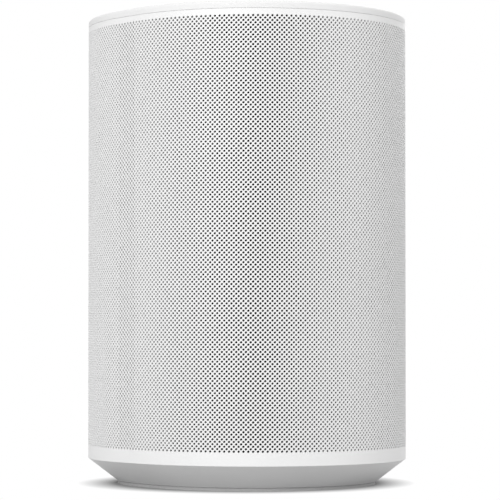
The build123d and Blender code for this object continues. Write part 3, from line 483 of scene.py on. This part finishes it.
def mesh_by_nodes(name, tree, sockets, values):
    """A plain mesh from a geometry-node tree with these input values."""
    holder = bpy.data.objects.new(name + "_maker", bpy.data.meshes.new(name + "_maker"))
    bpy.context.scene.collection.objects.link(holder)
    modifier = holder.modifiers.new("shape", "NODES")
    modifier.node_group = tree
    for socket, value in values.items():
        modifier[sockets[socket]] = value
    depsgraph = bpy.context.evaluated_depsgraph_get()
    mesh = bpy.data.meshes.new_from_object(holder.evaluated_get(depsgraph), depsgraph=depsgraph)
    mesh.name = name
    bpy.data.objects.remove(holder)
    return mesh


def close_rim(mesh):
    """Walls along a panel's outline, between its outer and its inner face."""
    work = bmesh.new()
    work.from_mesh(mesh)
    bmesh.ops.bridge_loops(work, edges=[edge for edge in work.edges if edge.is_boundary])
    work.to_mesh(mesh)
    work.free()


def perforated_panels():
    """The perforated field, in upright panels side by side."""
    cell = hole_cell()
    tree, sockets = perforation_tree(cell)
    columns = LAST_COLUMN - FIRST_COLUMN + 1
    for n in range(SLEEVE_PANELS):
        start = FIRST_COLUMN + columns * n // SLEEVE_PANELS
        end = FIRST_COLUMN + columns * (n + 1) // SLEEVE_PANELS
        values = {
            "First Column": start,
            "Columns": end - start,
            "Rows": ROWS,
            "Pitch": HOLE_PITCH,
            "Row Step": ROW_STEP,
            "First Row": FIRST_ROW,
            "Start": PATTERN_START,
        }
        name = f"sleeve_perforation_{n + 1}"
        mesh = mesh_by_nodes(name, tree, sockets, values)
        close_rim(mesh)
        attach(add_piece(name, mesh, "grille_sleeve"), "cabinet")
    bpy.data.objects.remove(cell)


def rolled(along, up, out):
    """Place on the obround plan for a distance along the wall from the front's middle."""
    reach = abs(along)
    side_run = min(max(reach - QUARTER_ARC, 0.0), SIDE_FLAT)
    turn = (reach - side_run) / BODY_RADIUS
    radius = BODY_RADIUS + out
    aside = math.copysign(math.sin(turn) * radius, along)
    return Vector((aside, side_run - SIDE_FLAT / 2 - math.cos(turn) * radius, up))


def plain_wall(name, alongs, ups, gaps=()):
    """A closed piece of smooth wall over a grid of cells laid along and up the sleeve, less the cells in
    gaps."""
    cells = {(i, j) for i in range(len(alongs) - 1) for j in range(len(ups) - 1)} - set(gaps)
    work = bmesh.new()
    corners = {}
    for i, along in enumerate(alongs):
        for j, up in enumerate(ups):
            corners[i, j] = [work.verts.new(rolled(along, up, out)) for out in (0.0, -RIM_WALL)]
    for i, j in cells:
        loop = [corners[i, j], corners[i + 1, j], corners[i + 1, j + 1], corners[i, j + 1]]
        work.faces.new([outer for outer, inner in loop])
        work.faces.new([inner for outer, inner in reversed(loop)])
        for n, beside in enumerate(((i, j - 1), (i + 1, j), (i, j + 1), (i - 1, j))):
            if beside not in cells:
                first, second = loop[n], loop[(n + 1) % 4]
                work.faces.new((first[0], first[1], second[1], second[0]))
    loose = [vertex for vertex in work.verts if not vertex.link_faces]
    bmesh.ops.delete(work, geom=loose, context="VERTS")
    bmesh.ops.recalc_face_normals(work, faces=work.faces)
    mesh = bpy.data.meshes.new(name)
    work.to_mesh(mesh)
    work.free()
    mesh.shade_smooth()
    mesh.set_sharp_from_angle(angle=WALL_SHARP)
    mesh.materials.append(sleeve_white)
    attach(add_piece(name, mesh, "grille_sleeve"), "cabinet")


def plain_margins():
    """The smooth bands along the sleeve's top and bottom, and the smooth strips beside the rear panel. A
    strip's edge steps in and out by half a pitch, as the rows of holes do."""
    count = 2 * HOLES_AROUND
    alongs = [SLEEVE_END * (2 * n / count - 1) for n in range(count + 1)]
    ups = [FIRST_ROW + (row - 0.5) * ROW_STEP for row in range(ROWS + 1)]
    plain_wall("sleeve_top_band", alongs, [ups[-1], sleeve_high.z])
    plain_wall("sleeve_bottom_band", alongs, [sleeve_low.z, ups[0]])
    strips = (("left", -1, FIRST_COLUMN - 0.5, 1), ("right", 1, LAST_COLUMN + 0.5, 0))
    for word, hand, column, long_rows in strips:
        steps = [PATTERN_START + (column + shift) * HOLE_PITCH for shift in (0, 0.5)][::hand]
        last = steps[-1]
        rest = hand * SLEEVE_END - last
        alongs = steps + [last + rest * n / EDGE_STEPS for n in range(1, EDGE_STEPS + 1)]
        gaps = [(0, row) for row in range(ROWS) if row % 2 != long_rows]
        plain_wall(f"sleeve_edge_{word}", alongs, ups, gaps)


def background_rays(tree):
    """1 for what the camera sees itself, in a reflection or through a clear piece, and 0 for light on the
    object."""
    path = add_node(tree, "ShaderNodeLightPath").outputs
    seen = path["Is Camera Ray"]
    for rays in ("Is Glossy Ray", "Is Transmission Ray"):
        seen = add_node(tree, "ShaderNodeMath", {0: seen, 1: path[rays]}, operation="MAXIMUM").outputs[0]
    return seen


def place_camera():
    """Camera at the photo's viewing angle."""
    data = bpy.data.cameras.new("photo_camera")
    data.lens = CAMERA_LENS
    data.sensor_width = SENSOR_WIDTH
    data.sensor_fit = "HORIZONTAL"
    data.shift_x = SHIFT_ACROSS
    data.shift_y = SHIFT_UP
    data.clip_start = NEAR_CLIP
    camera = bpy.data.objects.new("photo_camera", data)
    bpy.context.scene.collection.objects.link(camera)
    away = Vector((math.sin(CAMERA_TURN), -math.cos(CAMERA_TURN), 0.0))
    camera.location = away * CAMERA_REACH + Vector((0, 0, CAMERA_HEIGHT))
    camera.rotation_euler = (math.pi / 2 + CAMERA_TILT, 0.0, CAMERA_TURN)
    bpy.context.scene.camera = camera


def place_floor():
    """Pale floor that holds the shadow under the speaker's overhang, partly cast by the lamps and partly a
    painted shadow in grey paint, and reads as white beyond it.
    """
    mesh = bpy.data.meshes.new("studio_floor")
    signs = ((-1, -1), (1, -1), (1, 1), (-1, 1))
    mesh.from_pydata([(x * FLOOR_HALF, y * FLOOR_HALF, 0) for x, y in signs], [], [(0, 1, 2, 3)])
    floor = bpy.data.objects.new("studio_floor", mesh)
    bpy.context.scene.collection.objects.link(floor)
    material = bpy.data.materials.new("studio_floor_white")
    material.use_nodes = True
    tree = material.node_tree
    tree.nodes.clear()
    bounce = add_node(tree, "ShaderNodeBsdfDiffuse", {"Color": linear(FLOOR_BOUNCE)}).outputs["BSDF"]
    # Grey paint seen near the speaker: a painted shadow under the overhang, which the lamps shade further
    painted_shadow = add_node(tree, "ShaderNodeBsdfDiffuse", {"Color": linear(FLOOR_SHADOW_PAINT)}).outputs["BSDF"]
    glow = add_node(
        tree, "ShaderNodeEmission", {"Color": LIGHT_COLOUR, "Strength": SHADOW_GLOW}
    ).outputs["Emission"]
    shaded = add_node(tree, "ShaderNodeAddShader", {0: painted_shadow, 1: glow}).outputs["Shader"]
    white = add_node(
        tree, "ShaderNodeEmission", {"Color": LIGHT_COLOUR, "Strength": BACKGROUND_LIGHT}
    ).outputs["Emission"]
    place = add_node(tree, "ShaderNodeTexCoord").outputs["Object"]
    reach = add_node(tree, "ShaderNodeVectorMath", {0: place}, operation="LENGTH").outputs["Value"]
    away = add_node(
        tree, "ShaderNodeMapRange", {"Value": reach, "From Min": SHADOW_NEAR, "From Max": SHADOW_FAR}
    ).outputs["Result"]
    shown = add_node(tree, "ShaderNodeMixShader", {"Fac": away, 1: shaded, 2: white}).outputs["Shader"]
    seen = background_rays(tree)
    mixed = add_node(tree, "ShaderNodeMixShader", {"Fac": seen, 1: bounce, 2: shown}).outputs["Shader"]
    add_node(tree, "ShaderNodeOutputMaterial", {"Surface": mixed})
    mesh.materials.append(material)


def place_world():
    """White surroundings to the camera and in reflections, and a lower even light on the object."""
    world = bpy.data.worlds.new("studio_world")
    world.use_nodes = True
    tree = world.node_tree
    tree.nodes.clear()
    white = add_node(
        tree, "ShaderNodeBackground", {"Color": LIGHT_COLOUR, "Strength": BACKGROUND_LIGHT}
    ).outputs["Background"]
    dim = add_node(
        tree, "ShaderNodeBackground", {"Color": LIGHT_COLOUR, "Strength": ROOM_LIGHT}
    ).outputs["Background"]
    seen = background_rays(tree)
    mixed = add_node(tree, "ShaderNodeMixShader", {"Fac": seen, 1: dim, 2: white}).outputs["Shader"]
    add_node(tree, "ShaderNodeOutputWorld", {"Surface": mixed})
    bpy.context.scene.world = world


def place_softbox(name, turn_deg, reach, height, size, power):
    """Square softbox aimed at the middle of the speaker."""
    data = bpy.data.lights.new(name, "AREA")
    data.shape = "SQUARE"
    data.size = size
    data.energy = power
    lamp = bpy.data.objects.new(name, data)
    bpy.context.scene.collection.objects.link(lamp)
    turn = math.radians(turn_deg)
    lamp.location = (math.sin(turn) * reach, -math.cos(turn) * reach, height)
    aim = Vector((0, 0, LAMP_AIM)) - lamp.location
    lamp.rotation_euler = aim.to_track_quat("-Z", "Y").to_euler()


for node, material in FINISHES.items():
    solid = frame["nodes"][node].data
    solid.materials.clear()
    solid.materials.append(material)
for node in OUTER_NODES:
    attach(smooth_skin(node), body_of_node[node])
for joint in behaviour["joints"]:
    for bent in joint.get("deforming_nodes", ()):
        flexing_ring(bent["node"], Vector(joint["axis"]))
perforated_panels()
plain_margins()

place_camera()
place_floor()
place_world()
for softbox in SOFTBOXES:
    place_softbox(*softbox)
bpy.context.scene.view_settings.view_transform = "Standard"
